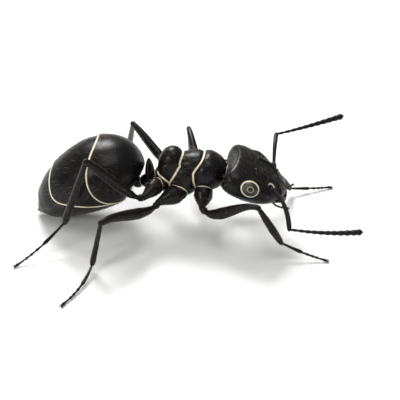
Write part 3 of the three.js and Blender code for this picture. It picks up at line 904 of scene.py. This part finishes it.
def chain(path, ends, radius, joint, sides=24, rows=14, club=1.0):
    """Segments on a thin paler core. They thicken to `club` times at the last one, which is rounded."""
    core = limb(part_of(path, 0.01, 0.985, 80), [(0, joint), (1, joint * 0.8)], sides=12, margin=0.05)
    skins, last = [core], len(ends) - 1
    for number, (start, end) in enumerate(ends):
        profile = LAST_SEGMENT_PROFILE if number == last else SEGMENT_PROFILE
        profile = scaled(profile, radius * (1 + (club - 1) * number / last))
        stretch = part_of(path, start + SEGMENT_GAP, end - SEGMENT_GAP, rows)
        skins.append(limb(stretch, profile, sides=sides))
    return join(skins)


def palp_skin(name, side):
    points = [outward_of(HEAD, mirrored(point, side)) for point in PALPS[name].values()]
    ends = [(k / PALP_SEGMENTS, (k + 1) / PALP_SEGMENTS) for k in range(PALP_SEGMENTS)]
    return chain(bezier(*points, 60), ends, PALP_RADIUS, PALP_RADIUS * 0.55)


def antenna_skins(name, side):
    """An antenna's shaft and its whip."""
    curve = ANTENNAE[name]
    socket = outward_of(HEAD, mirrored(SOCKET, side) - [0, 0, 0.1])
    scape = limb(bezier(socket, curve["bow"], curve["elbow"], 90), SCAPE_PROFILE, sides=36)
    path = bezier(curve["elbow"], curve["bend"], curve["tip"], 160)
    rest = np.linspace(PEDICEL_END, 1, FLAGELLOMERES)
    ends = [(0.0, PEDICEL_END), *zip(rest[:-1], rest[1:])]
    return scape, chain(path, ends, **WHIP)


head = dress("head_capsule", head_skin(), BODY, "cuticle", "head")
antennae = {}
for name, side in SIDES.items():
    dress("compound_eye_" + name, eye_skin(side), EYE_LENS, "eye_lens", "eye_" + name)
    dress("eye_ring_" + name, ring_skin(side), RIM, "cuticle", "eye_" + name)
    dress("jaw_" + name, jaw_skin(side), JAWS, "jaw_cuticle", "mandible_" + name)
    dress("jointed_palp_" + name, palp_skin(name, side), FEELERS, "antenna_cuticle", "palp_" + name)
    scape, funiculus = antenna_skins(name, side)
    dress("antenna_shaft_" + name, scape, FEELERS, "antenna_cuticle", "scape_" + name)
    dress("antenna_whip_" + name, funiculus, FEELERS, "antenna_cuticle", "funiculus_" + name)
    antennae[name] = (scape, funiculus)
dress("labium_and_maxillae", join(mouth_skins()), JAWS, "jaw_cuticle")

# ---------- Thorax and petiole ----------

# A breathing hole of the propodeum and the furrow across the mesopleuron, in the plates' own frames.
SPIRACLE = (-0.25, 0.62, -0.1)
FURROW = [(-0.6, 0.3), (-0.1, -0.05), (0.6, -0.25)]


def sculpt_propodeum(local, normal):
    x, y, z = local[..., 0], np.abs(local[..., 1]), local[..., 2]
    slit = np.hypot((x - SPIRACLE[0]) / 0.5, z - SPIRACLE[2])
    flank = step(y, 0.3, 0.5)
    return (0.03 * bell(slit - 0.1, 0.03) - 0.05 * bell(slit, 0.06)) * flank


def sculpt_mesopleuron(local, normal):
    x, y, z = local[..., 0], np.abs(local[..., 1]), local[..., 2]
    return -0.025 * bell(path_distance(x, z, FURROW), 0.04) * step(y, 0.3, 0.5)


# Each plate's egg, the eggs along which it has a pale seam, and how else it is made.
PLATES = {
    "mesonotum": (MESONOTUM, [PRONOTUM, PROPODEUM], dict(grooves=[MESOPLEURON])),
    "pronotum": (PRONOTUM, [MESONOTUM, MESOPLEURON], {}),
    "mesopleuron": (MESOPLEURON, [PRONOTUM, PROPODEUM, METAPLEURON],
                    dict(grooves=[MESONOTUM], sculpt=sculpt_mesopleuron)),
    "propodeum": (PROPODEUM, [MESONOTUM, MESOPLEURON, METAPLEURON], dict(sculpt=sculpt_propodeum)),
    "metapleuron": (METAPLEURON, [PROPODEUM, MESOPLEURON], {}),
    "neck": (NECK, [PRONOTUM], dict(count=60, sides=80)),
}
thorax = {}
for name, (shape, seams, making) in PLATES.items():
    thorax[name] = dress(name + "_plate", plate(shape, seams, **making), BODY, "cuticle", name)


def petiole_skin():
    node = plate(PETIOLE_NODE, [METAPLEURON, PROPODEUM], count=80, sides=100)
    return join([node, plate(PETIOLE_SCALE, [PETIOLE_NODE], count=110, sides=120)])


dress("petiole_scale", petiole_skin(), BODY, "cuticle", "petiole")
dress("waist_joint", plate(HELCIUM, [PETIOLE_NODE], count=50, sides=60), BODY, "cuticle", "helcium")

# ---------- Gaster ----------

# The roundness of a back plate's lower corner, the grid of a plate, and how far a back plate reaches under
# the one ahead, as a share of the gaster's length.
CORNER = 0.35
PLATE_ROWS = 110
PLATE_SIDES = 340
OVERLAP = 0.06

# How far each kind of plate stands off the gaster's outline: at its front, under the plate ahead, further
# back, and the extra flare of its hind margin. The lip under that margin is given as (how far ahead, as a
# share of the gaster's length, how far out).
BACK_LIFT = (-0.028, 0.016, 0.012)
BELLY_LIFT = (-0.085, -0.05, 0.008)
TIP_LIFT = -0.06
LIP = [(0.0004, -0.012), (0.0015, -0.032), (0.006, -0.055), (0.02, -0.065)]
# How far behind the back plates' ends the belly plates' ends lie.
BELLY_SHIFT = 0.3
# Added to the last back plate's distance from its hind margin, which is only rusty.
FAINT = 0.13


def ahead_of(end, points, shift=0):
    """How far points of the gaster's frame lie ahead of a plate's hind edge, moved back by `shift`."""
    middle = (end["along"] - 0.5) * GASTER["length"] - shift
    x, z = points[..., 0] - middle, points[..., 2] - end["height"]
    return end["radius"] - np.where(x < 0, np.hypot(x, z), np.abs(z))


def above_belly(points):
    return outward_of(GASTER, points)[..., 2] - BELLY_TOP


def smooth_min(a, b, width):
    share = np.clip(0.5 + 0.5 * (b - a) / width, 0, 1)
    return b * (1 - share) + a * share - width * share * (1 - share)


def hind_limit(inside, angle):
    """For each angle round the gaster, the share of its length at which inside() falls to 0."""
    shares = np.linspace(0.9995, 0.0005, 600)
    grid = egg_point(GASTER, shares[:, None], angle[None])
    outside = inside(grid) < 0
    first = np.where(outside.any(0), outside.argmax(0), len(shares) - 1)
    ahead, behind = shares[np.maximum(first - 1, 0)], shares[first]
    for _ in range(30):
        half = (ahead + behind) / 2
        out = inside(egg_point(GASTER, half, angle)) < 0
        ahead, behind = np.where(out, ahead, half), np.where(out, half, behind)
    return behind


def gaster_plate(inside, cover, lift, front=None, faint=0):
    """A ring of cuticle that ends behind where inside() is 0. It dips where cover() is below 0, under the
    plate ahead of it, and starts at `front`, the share of the length at each angle."""
    angle = around(PLATE_SIDES)
    hind = hind_limit(inside, angle)
    front = np.full(PLATE_SIDES, 0.9995) if front is None else np.maximum(front, hind + 0.001)
    share = np.linspace(0, 1, PLATE_ROWS)[:, None]
    along = front + (hind - front) * share
    ahead, risen, flare = lift
    local = egg_point(GASTER, along, angle + 0 * along)
    normal = grid_normals(local)
    margin = np.clip(inside(local), 0, 1)
    rise = ahead + (risen - ahead) * step(cover(local), 0, 0.7) + flare * (1 - step(margin, 0, 0.25))
    rows = local + normal * rise[..., None]
    lip_rows, lip_local = [], []
    for shift, out in LIP:
        under = egg_point(GASTER, np.minimum(hind + shift, 0.9995), angle)
        lip_rows.append(under + normal[-1] * (rise[-1] + out)[:, None])
        lip_local.append(under)
    rows = np.concatenate([rows, lip_rows])
    local = np.concatenate([local, lip_local])
    margin = np.concatenate([margin, np.repeat(margin[-1:], len(LIP), 0)])
    points = hollowed(outward_of(GASTER, rows))
    margin = margin + faint
    for neighbour in (HELCIUM, PETIOLE_NODE):
        near = beyond(neighbour, points.reshape(-1, 3)).reshape(margin.shape)
        margin = np.minimum(margin, np.clip(near, 0, 1))
    return closed(points, margin=margin, place=local), hind


# The hollow in the gaster's front, where the waist joins it: its middle's height, its half width and half
# height, how deep it is, where along the body it ends and over what length it fades in.
HOLLOW = dict(level=2.45, half=(1.35, 0.95), depth=0.42, end=-3.9, fade=0.8)


def hollowed(points):
    """Points of the gaster with its front hollowed for the waist."""
    y, z = points[..., 1], points[..., 2] - HOLLOW["level"]
    size = (y / HOLLOW["half"][0]) ** 2 + (z / HOLLOW["half"][1]) ** 2
    ahead = step(points[..., 0], HOLLOW["end"], HOLLOW["end"] + HOLLOW["fade"])
    depth = HOLLOW["depth"] * np.clip(1 - size, 0, 1) * ahead
    return points - depth[..., None] * [1, 0, 0]


def all_round(points):
    return np.ones(points.shape[:-1])


def back_plates():
    """The three back plates, each from under the one ahead. The last goes right round."""
    plates, front = {}, None
    last = len(PLATE_ENDS) - 1
    for number, end in enumerate(PLATE_ENDS):
        def inside(points):
            ahead = ahead_of(end, points)
            return ahead if number == last else smooth_min(ahead, above_belly(points), CORNER)

        def cover(points):
            return -ahead_of(PLATE_ENDS[number - 1], points) if number else all_round(points)

        name = "gaster_tergite_%d" % (number + 1)
        plates[name], hind = gaster_plate(inside, cover, BACK_LIFT, front, FAINT if number == last else 0)
        front = hind + OVERLAP
    return plates


def belly_plates():
    """The two belly plates that show below the back plates' lower edges."""
    skins = []
    for number, end in enumerate(PLATE_ENDS[:2]):
        def inside(points):
            return ahead_of(end, points, BELLY_SHIFT)

        def cover(points):
            return -ahead_of(PLATE_ENDS[0], points, BELLY_SHIFT) if number else all_round(points)

        skins.append(gaster_plate(inside, cover, BELLY_LIFT)[0])
    return join(skins)


# The tip's pore, a small nozzle: its radius, how far its rim stands out and how deep it is.
PORE = (0.13, 0.05, 0.12)


def gaster_tip():
    """The last segment, with its pore."""
    def sculpt(local, normal):
        from_axis = np.hypot(local[..., 1], local[..., 2] - axis_height(GASTER, 0))
        here = step(-local[..., 0], 2.9, 3.1)
        radius, rim, depth = PORE
        nozzle = rim * bell(from_axis - radius, 0.05) - depth * bell(from_axis, 0.07)
        return TIP_LIFT + nozzle * here
    rows, local = egg_rows(GASTER, 240, 200, sculpt)
    keep = (local[:, :, 0].mean(1) < 0.5).argmin()
    return closed(rows[:keep], place=local[:keep])


gaster = back_plates()
for name, skin in gaster.items():
    dress("back_" + name, skin, GASTER_SKIN, "cuticle", name)
gaster["belly"] = dress("belly_plates", belly_plates(), GASTER_SKIN, "cuticle", "gaster_belly")
gaster["tip"] = dress("pore_segment", gaster_tip(), GASTER_SKIN, "cuticle", "gaster_tip")

# ---------- Legs ----------


def toward(heading, pitch):
    """The direction with this heading and pitch, in degrees."""
    heading, pitch = math.radians(heading), math.radians(pitch)
    level = math.cos(pitch)
    return np.array([level * math.cos(heading), level * math.sin(heading), math.sin(pitch)])


def leg_joints(pair, angles, side):
    """Where a leg's pieces meet, from its base on the thorax to the end of its foot."""
    joints = [mirrored(pair["base"], side)]
    for piece in ("coxa", "femur", "tibia"):
        joints.append(joints[-1] + pair[piece] * toward(*angles[piece]))
    drop = math.degrees(math.asin((FOOT_HEIGHT - joints[-1][2]) / pair["tarsus"]))
    joints.append(joints[-1] + pair["tarsus"] * toward(angles["tarsus"], drop))
    return joints


CLAW_LENGTH = 0.19
CLAW_SPREAD = 32
# Spurs, as length and radius: one at the end of each tibia and small ones under the foot.
TIBIA_SPUR = (0.3, 0.034)
FOOT_SPUR = (0.16, 0.02)
TROCHANTER_LENGTH = 0.32
TOE_HEIGHT = 0.1
# How a foot bends between ankle and toe: how far it sags, as a share of the most it can, and how far it
# bows to its left.
FOOT_BENDS = {"fore": (0.4, 0), "middle": (1, 0.34), "hind": (0.9, 0)}
COXA_NEIGHBOURS = (PRONOTUM, MESOPLEURON, PROPODEUM, METAPLEURON)


def claw(root, heading):
    """A hooked claw that ends on the floor."""
    forward = toward(heading, 0)
    tip = root + forward * CLAW_LENGTH
    tip[2] = 0.01
    bend = root + forward * CLAW_LENGTH * 0.8 + [0, 0, 0.06]
    return limb(bezier(root, bend, tip, 16), [(0, 0.034), (0.6, 0.022), (1, 0.008)], sides=10)


def foot_skins(ankle, end, heading, bends):
    """Five tarsomeres, the last with two claws and a pad between them."""
    toe = end.copy()
    toe[2] = TOE_HEIGHT
    sag = min(0.4, (ankle[2] - toe[2]) * 0.5) * bends[0]
    path = bezier(ankle, (ankle + toe) / 2 - [0, 0, sag] + toward(heading + 90, 0) * bends[1], toe, 80)
    skins = [limb(part_of(path, 0.0, 0.97, 60), [(0, 0.04), (1, 0.03)], sides=12, margin=0.1)]
    for number, (start, stop) in enumerate(TARSOMERES):
        profile = scaled(TARSOMERE_PROFILE, TARSUS_RADIUS) if number else BASITARSUS_PROFILE
        skins.append(limb(part_of(path, start + 0.003, stop - 0.003, 20), profile, sides=20))
    for turn in (-CLAW_SPREAD, CLAW_SPREAD):
        skins.append(claw(toe - [0, 0, 0.01], heading + turn))
    pad = straight(toe - [0, 0, 0.03], toe + toward(heading, -25) * 0.12 - [0, 0, 0.02], 12)
    skins.append(limb(pad, [(0, 0.03), (0.6, 0.045), (1, 0.03)], sides=16, margin=0.1))
    for _, share in TARSOMERES[:3]:
        root = part_of(path, share - 0.02, share, 2)[0]
        skins.append(spur(root, toward(heading, -20), *FOOT_SPUR))
    return skins


def spur(root, aim, length, radius):
    """A pointed spur at the end of a leg's segment, towards the floor."""
    aim = aim + [0, 0, -0.7]
    tip = root + aim / np.linalg.norm(aim) * length
    return limb(straight(root, tip, 12), [(0, radius), (1, radius * 0.2)], sides=10)


def leg_skins(pair_name, angles, side):
    pair = LEG_PAIRS[pair_name]
    hip, hock, knee, ankle, end = leg_joints(pair, angles, side)
    coxa = limb(straight(hip, hock, 60), COXA_PROFILES[pair_name], sides=64, flat=0.9)
    for plate_shape in COXA_NEIGHBOURS:
        coxa.margin = np.minimum(coxa.margin, np.abs(beyond(plate_shape, coxa.points)) * 0.7)
    pulls = [hock + (knee - hock) * share + [0, 0, pull] for share, pull in zip(BOW_AT, pair["bow"])]
    thigh = cubic(hock, *pulls, knee, 120)
    split = TROCHANTER_LENGTH / distances(thigh)[-1]
    trochanter = limb(part_of(thigh, 0, split, 20), TROCHANTER_PROFILE, sides=36)
    femur = limb(part_of(thigh, split * 1.05, 1, 90), FEMUR_PROFILES[pair_name], sides=48, flat=0.86)
    shin = unit(ankle - knee)
    tibia = limb(straight(knee + shin * 0.05, ankle, 70), TIBIA_PROFILES[pair_name], sides=40)
    point = spur(ankle - shin * 0.06, shin + toward(angles["tarsus"], 0) * 0.3, *TIBIA_SPUR)
    return dict(coxa=coxa, femur=join([trochanter, femur]), tibia=join([tibia, point]),
                tarsus=join(foot_skins(ankle, end, angles["tarsus"], FOOT_BENDS[pair_name])))


legs = {}
for side_name, side in SIDES.items():
    for pair_name, angles in STANCE[side_name].items():
        leg_name = side_name + "_" + pair_name
        legs[leg_name] = leg_skins(pair_name, angles, side)
        for piece_name, skin in legs[leg_name].items():
            node = leg_name + "_" + piece_name
            dress(node + "_shell", skin, LEGS, "leg_cuticle", node)

# ---------- Coat ----------

# Kinds of hair.
ERECT = dict(length=0.3, radius=0.008, lean=0.35)
FLAT = dict(length=0.13, radius=0.004, lean=1.28, rings=3)
MOUTH_HAIR = dict(length=0.32, radius=0.009, lean=0.9, backward=(1, 0, -0.4))
GASTER_DOWN = dict(length=0.2, radius=0.004, lean=1.3, rings=3)
FRINGE = dict(length=0.28, radius=0.008, lean=0.2)
LEG_HAIR = dict(length=0.12, radius=0.005, lean=0.85, backward=(0, 0, -1))
FEELER_DOWN = dict(length=0.06, radius=0.0035, lean=0.9, backward=(1, 0, 0), rings=3)


def facing_up(skin):
    return (skin.outward[:, 2] > 0.15).astype(float)


def clear(skin, low, high=math.inf):
    """1 where a skin lies further than `low` from a pale margin, and nearer than `high`."""
    return ((skin.margin > low) & (skin.margin < high)).astype(float)


def head_coat():
    brow = facing_up(head) * clear(head, 0.1)
    lip = step(head.place[:, 0], 1.55, 1.75) * facing_up(head)
    tufts = [hairs(scatter(head, 80, brow), **ERECT), hairs(scatter(head, 14, lip), **MOUTH_HAIR)]
    coat("bristles_head", tufts, BRISTLE)
    coat("down_head", [hairs(scatter(head, 2600, clear(head, 0.1)), **FLAT)], DOWN)


def thorax_coat():
    tufts, down = [], []
    for number, skin in enumerate(thorax.values()):
        tile = (number, len(thorax))
        tufts.append(hairs(scatter(skin, 24, facing_up(skin) * clear(skin, 0.2)), tile=tile, **ERECT))
        down.append(hairs(scatter(skin, 650, clear(skin, 0.1)), tile=tile, **FLAT))
    coat("bristles_thorax", tufts, BRISTLE)
    coat("down_thorax", down, DOWN)


def gaster_coat():
    tufts, down = [], []
    for number, skin in enumerate(gaster.values()):
        tile = (number, len(gaster))
        tufts.append(hairs(scatter(skin, 70, clear(skin, 0.1, 0.3)), tile=tile, **ERECT))
        tufts.append(hairs(scatter(skin, 50, clear(skin, 0.3)), tile=tile, **ERECT))
        open_air = clear(skin, 0.11) * (1 - step(skin.place[:, 0], 2.6, 3.1))
        down.append(hairs(scatter(skin, 1900, open_air), tile=tile, **GASTER_DOWN))
    fringe = step(-gaster["tip"].place[:, 0], 3.0, 3.1)
    tufts.append(hairs(scatter(gaster["tip"], 46, fringe), tile=(len(gaster) - 1, len(gaster)), **FRINGE))
    coat("bristles_gaster", tufts, BRISTLE)
    coat("down_gaster", down, DOWN)


def covered(skins, count, hair):
    """Hairs over several skins, each on its own tile of the unwrap."""
    bunches = []
    for number, skin in enumerate(skins):
        roots = scatter(skin, count, clear(skin, 0.2))
        bunches.append(hairs(roots, tile=(number, len(skins)), **hair))
    return bunches


def limb_coat():
    shells = [skin for leg in legs.values() for skin in leg.values()]
    coat("bristles_legs", covered(shells, 110, LEG_HAIR), BRISTLE)
    feelers = [skin for pair in antennae.values() for skin in pair]
    coat("down_antennae", covered(feelers, 450, FEELER_DOWN), DOWN)


head_coat()
thorax_coat()
gaster_coat()
limb_coat()

# ---------- Studio ----------

# The camera, in degrees and mm, with its lens, sensor and clipping distances.
VIEW_ELEVATION = 33
VIEW_AZIMUTH = 7.1
VIEW_DISTANCE = 54.2
VIEW_AIM = np.array([0.52, 0, 1.565])
LENS = 93.8
SENSOR = 36
CLIP = (1, 2000)
FLOOR_HALF = 400
WORLD_STRENGTH = 0.36
# Each softbox's place, its size and its power in watts.
SOFTBOXES = {
    "softbox_key": ((-25, 60, 78), 40, 0.11),
    "softbox_top": ((10, -20, 95), 60, 0.03),
    "softbox_left": ((-60, -70, 50), 30, 0.03),
}


def floor():
    mesh = bpy.data.meshes.new("floor")
    half = FLOOR_HALF * MM
    corners = [(-half, -half, 0), (half, -half, 0), (half, half, 0), (-half, half, 0)]
    mesh.from_pydata(corners, [], [(0, 1, 2, 3)])
    mesh.materials.append(floor_material())
    plane = bpy.data.objects.new("floor", mesh)
    bpy.context.collection.objects.link(plane)


def camera():
    data = bpy.data.cameras.new("camera")
    data.lens, data.sensor_width = LENS, SENSOR
    data.clip_start, data.clip_end = CLIP[0] * MM, CLIP[1] * MM
    view = bpy.data.objects.new("camera", data)
    bpy.context.collection.objects.link(view)
    e, a = math.radians(VIEW_ELEVATION), math.radians(VIEW_AZIMUTH)
    back = Vector((math.sin(a) * math.cos(e), -math.cos(a) * math.cos(e), math.sin(e)))
    view.location = Vector((VIEW_AIM + BODY_AXIS) * MM) + back * VIEW_DISTANCE * MM
    view.rotation_euler = (-back).to_track_quat("-Z", "Y").to_euler()
    bpy.context.scene.camera = view


def softbox(name, place, size, power):
    """A square light, aimed at the ant."""
    data = bpy.data.lights.new(name, "AREA")
    data.size = size * MM
    data.energy = power
    lamp = bpy.data.objects.new(name, data)
    bpy.context.collection.objects.link(lamp)
    lamp.location = Vector(place) * MM
    lamp.rotation_euler = (Vector((0, 0, 2 * MM)) - lamp.location).to_track_quat("-Z", "Y").to_euler()


def studio():
    world = bpy.data.worlds.new("studio")
    world.use_nodes = True
    world.node_tree.nodes["Background"].inputs["Color"].default_value = (1, 1, 1, 1)
    world.node_tree.nodes["Background"].inputs["Strength"].default_value = WORLD_STRENGTH
    bpy.context.scene.world = world
    bpy.context.scene.view_settings.view_transform = "Standard"
    for name, (place, size, power) in SOFTBOXES.items():
        softbox(name, place, size, power)


floor()
camera()
studio()
